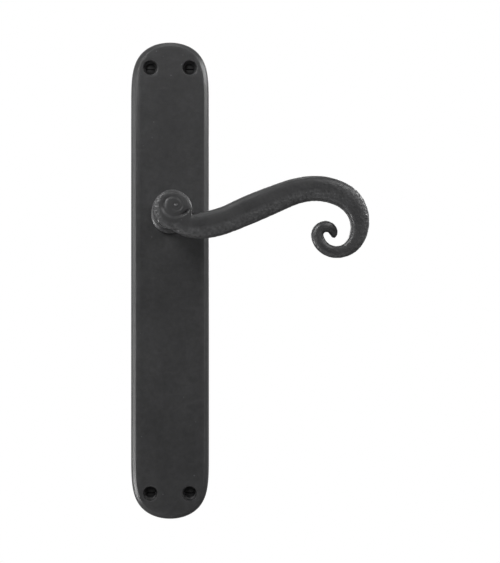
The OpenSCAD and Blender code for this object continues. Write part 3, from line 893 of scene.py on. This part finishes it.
def lever():
    bar = mesh_from("bar", *sweep(arm_stations(), 64))
    disc = turned_mesh("disc", head_profile(), 128, HEAD_CENTRE)
    whole = bmesh.new()
    for part in (bar, neck_mesh(), disc):
        whole.from_mesh(part)
        bpy.data.meshes.remove(part)
    mesh = bpy.data.meshes.new("lever_casting")
    whole.to_mesh(mesh)
    whole.free()
    obj = scratch(mesh)
    mod = obj.modifiers.new("fuse", "REMESH")
    mod.mode = "VOXEL"
    mod.voxel_size = VOXEL * MM
    apply_modifiers(obj)
    mod = obj.modifiers.new("soften", "SMOOTH")
    mod.factor = 0.5
    mod.iterations = 2
    apply_modifiers(obj)
    mesh = obj.data.copy()
    bpy.data.objects.remove(obj)
    mesh.name = "lever_casting"
    level_front(mesh)
    carve_scroll(mesh)
    strength = hammering(coordinates(mesh) / MM)
    # The hammering strength is kept on the mesh for the material, which also paints highlights over the
    # hammered patches with it.
    hammered = mesh.attributes.new("hammered", "FLOAT", "POINT")
    hammered.data.foreach_set("value", strength.astype(np.float32))
    hammer(mesh, strength, 11, 1.6, 0.27)
    hammer(mesh, strength, 12, 0.95, 0.08)
    put_coordinates(mesh, np.clip(coordinates(mesh), *np.array(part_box("lever"))))
    mesh.shade_smooth()
    out = new_object("lever_casting", mesh, "handle", lever_iron())
    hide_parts("lever")


def journal():
    """The machined end of the neck: keyed by two flats, grooved for the circlip, with the square socket."""
    groove_r = JOURNAL_R - GROOVE_DEPTH
    near, far = GROOVE_Y
    obj = scratch(turned_mesh("journal", [
        (0, FOOT_Y), (JOURNAL_R, FOOT_Y), (JOURNAL_R, near), (groove_r, near), (groove_r, far),
        (JOURNAL_R, far), (JOURNAL_R, JOURNAL_END_Y - 0.3), (JOURNAL_R - 0.3, JOURNAL_END_Y),
        (0, JOURNAL_END_Y)], 96))
    half = SOCKET / 2
    cutters = [box_mesh((-half, FOOT_Y - 1, -half), (half, 1, half))]
    for side in (-1, 1):
        x = sorted((side * FLAT_X, side * 12))
        cutters.append(box_mesh((x[0], FLAT_START_Y, -10), (x[1], 1, 10)))
    combine(obj, cutters, "DIFFERENCE")
    mesh = obj.data.copy()
    bpy.data.objects.remove(obj)
    mesh.name = "lever_journal"
    finish_mesh(mesh, 30)
    out = new_object("lever_journal", mesh, "handle", machined_iron())
    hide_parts("lever")


# ---------------------------------------------------------------- return spring

SPRING_Y = (-7.65, -4.8375)
COIL_R = 13.2
WIRE_R = 0.6
FIXED_LEG = 13.5
COIL_ANGLE = 810
LEG_END_R = 16.2
LEG_BEND_R = 1.2


def polar(r, angle, y, off=0.0):
    """A point at a radius and an angle about the spindle's axis, moved sideways by off."""
    a = math.radians(angle)
    return np.array([r * math.cos(a) + off * math.sin(a), y, r * math.sin(a) - off * math.cos(a)])


def spring_line():
    """The wire's centre line: a leg, a bend, the coil, a bend and the other leg."""
    y0, y1 = SPRING_Y
    lead = math.degrees(math.asin(LEG_BEND_R / COIL_R))
    turn = COIL_ANGLE - 2 * lead
    last = FIXED_LEG - COIL_ANGLE
    bend = np.radians(np.linspace(0, 84, 8))
    line = [polar(LEG_END_R, FIXED_LEG, y0), polar(LEG_END_R - 0.8, FIXED_LEG, y0)]
    line += [polar(COIL_R + LEG_BEND_R * (1 - math.sin(b)), FIXED_LEG, y0, LEG_BEND_R * (1 - math.cos(b)))
             for b in bend]
    for i in range(241):
        t = i / 240
        line.append(polar(COIL_R, FIXED_LEG - lead - turn * t, y0 + (y1 - y0) * t))
    line += [polar(COIL_R + LEG_BEND_R * (1 - math.sin(b)), last, y1, -LEG_BEND_R * (1 - math.cos(b)))
             for b in bend[::-1]]
    return line + [polar(LEG_END_R - 0.8, last, y1), polar(LEG_END_R, last, y1)]


def return_spring():
    """The coil as one smooth wire."""
    line = np.array(spring_line())
    tangent = np.gradient(line, axis=0)
    tangent /= np.linalg.norm(tangent, axis=1)[:, None]
    stations = []
    for p, t in zip(line, tangent):
        side = np.cross(t, [0, 1, 0])
        side /= np.linalg.norm(side)
        stations.append((p, side, np.cross(side, t), WIRE_R, WIRE_R, (2, 2)))
    mesh = mesh_from("return_coil", *sweep(stations, 20), 50)
    mesh.materials.append(spring_steel())
    obj = bpy.data.objects.new("return_coil", mesh)
    bpy.context.scene.collection.objects.link(obj)
    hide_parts("return_spring")
    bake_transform(obj)


# ---------------------------------------------------------------- stage, light and camera

def seen_and_lit(tree, output, seen, lit):
    """Shows the camera one shader and lights the object with the other."""
    out = tree.nodes.new(output)
    path = tree.nodes.new("ShaderNodeLightPath")
    mix = tree.nodes.new("ShaderNodeMixShader")
    tree.links.new(path.outputs["Is Camera Ray"], mix.inputs[0])
    tree.links.new(lit.outputs[0], mix.inputs[1])
    tree.links.new(seen.outputs[0], mix.inputs[2])
    tree.links.new(mix.outputs[0], out.inputs[0])


def floor():
    """A pale floor well below the handle, which hangs as it would on a door."""
    half, drop = 4.0, 0.75
    mesh = bpy.data.meshes.new("floor")
    z = cad_lo.z - drop
    corners = [(-half, -half, z), (half, -half, z), (half, half, z), (-half, half, z)]
    mesh.from_pydata(corners, [], [(0, 1, 2, 3)])
    obj = bpy.data.objects.new("floor", mesh)
    bpy.context.scene.collection.objects.link(obj)
    m = bpy.data.materials.new("pale_floor")
    m.use_nodes = True
    t = m.node_tree
    t.nodes.clear()
    seen = t.nodes.new("ShaderNodeEmission")
    seen.inputs["Color"].default_value = (1, 1, 1, 1)
    lit = t.nodes.new("ShaderNodeBsdfDiffuse")
    lit.inputs["Color"].default_value = (0.25, 0.25, 0.25, 1)
    seen_and_lit(t, "ShaderNodeOutputMaterial", seen, lit)
    mesh.materials.append(m)


def world():
    """White to the eye; to the object, bright behind and dim in front, as in a white sweep."""
    w = bpy.data.worlds.new("studio")
    bpy.context.scene.world = w
    w.use_nodes = True
    t = w.node_tree
    t.nodes.clear()
    seen = t.nodes.new("ShaderNodeBackground")
    seen.inputs["Color"].default_value = (1, 1, 1, 1)
    lit = t.nodes.new("ShaderNodeBackground")
    coord = t.nodes.new("ShaderNodeTexCoord")
    split = t.nodes.new("ShaderNodeSeparateXYZ")
    ramp = t.nodes.new("ShaderNodeMapRange")
    for key, value in {"From Min": -0.25, "From Max": 0.6, "To Min": 0.0, "To Max": 0.6}.items():
        ramp.inputs[key].default_value = value
    t.links.new(coord.outputs["Generated"], split.inputs[0])
    t.links.new(split.outputs["Y"], ramp.inputs["Value"])
    t.links.new(ramp.outputs[0], lit.inputs["Strength"])
    seen_and_lit(t, "ShaderNodeOutputWorld", seen, lit)


def softbox(name, place, target, width, height, power):
    """An area light at a place in metres, aimed at the target, that the camera doesn't see."""
    light = bpy.data.lights.new(name, "AREA")
    light.shape = "RECTANGLE"
    light.size = width
    light.size_y = height
    light.energy = power
    obj = bpy.data.objects.new(name, light)
    bpy.context.scene.collection.objects.link(obj)
    obj.location = place
    aim = Vector(target) - Vector(place)
    obj.rotation_mode = "QUATERNION"
    obj.rotation_quaternion = aim.to_track_quat("-Z", "Y")
    obj.visible_camera = False


# The camera looks straight at the plate's middle, to a fraction of a millimetre. The shift puts the plate
# left of the picture's middle, which leaves room for the lever.
CAMERA_DISTANCE = 640.0
CAMERA_X, CAMERA_Z = -0.03, -34.68
CAMERA_SHIFT = (0.1421, -0.0009)
LENS = 78.484
SENSOR = 36.0


def camera():
    data = bpy.data.cameras.new("camera")
    data.sensor_width = SENSOR
    data.lens = LENS
    data.shift_x, data.shift_y = CAMERA_SHIFT
    data.clip_start = 0.01
    data.clip_end = 20
    obj = bpy.data.objects.new("camera", data)
    bpy.context.scene.collection.objects.link(obj)
    obj.location = Vector((CAMERA_X, FACE_Y - CAMERA_DISTANCE, CAMERA_Z)) * MM
    obj.rotation_euler = (math.pi / 2, 0, 0)
    bpy.context.scene.camera = obj


def studio():
    """Soft light from all round the front, with brighter panels at the sides that run down the bevels."""
    middle = (cad_lo + cad_hi) / 2
    softbox("key_left", (-0.45, -0.58, 0.45), middle, 0.4, 0.4, 5.3)
    softbox("key_right", (0.45, -0.58, 0.45), middle, 0.4, 0.4, 2.1)
    softbox("front_right_softbox", (0.7, -1.05, 0.0), middle, 0.6, 0.7, 0.8)
    softbox("left_front_softbox", (-0.62, -0.62, 0.0), middle, 0.3, 0.3, 0.4)
    softbox("left_bottom_panel", (-1.0, -0.1, -0.5), middle, 0.3, 0.35, 6.2)
    softbox("left_low_panel", (-1.0, -0.1, -0.2), middle, 0.3, 0.35, 0.9)
    softbox("left_high_panel", (-1.0, -0.1, 0.12), middle, 0.3, 0.35, 1.3)
    softbox("right_high_panel", (1.0, -0.1, 0.45), middle, 0.3, 0.35, 7.2)
    softbox("top_panel", (0.0, -0.1, 1.0), middle, 0.35, 0.3, 1.4)
    softbox("low_softbox", (0.0, -0.5, -0.75), middle, 0.8, 0.4, 1.0)
    softbox("back_right_panel", (0.9, 0.5, -0.25), middle, 0.3, 0.4, 0.4)
    softbox("back_softbox", (0.25, 1.2, 0.3), middle, 0.7, 0.7, 7.0)
    world()
    floor()


camera()
bpy.context.scene.view_settings.view_transform = "Standard"
backplate()
fixing_screws()
lever()
journal()
return_spring()

finishes = {
    "black_steel": black_steel(), "zinc_steel": zinc_steel(),
    "spring_steel": spring_steel(), "nylon": nylon(),
}
for row in frame["record"]["subparts"]:
    if row["material_slot"] in finishes:
        obj = frame["nodes"][row["node"]]
        obj.data.materials.clear()
        obj.data.materials.append(finishes[row["material_slot"]])
studio()
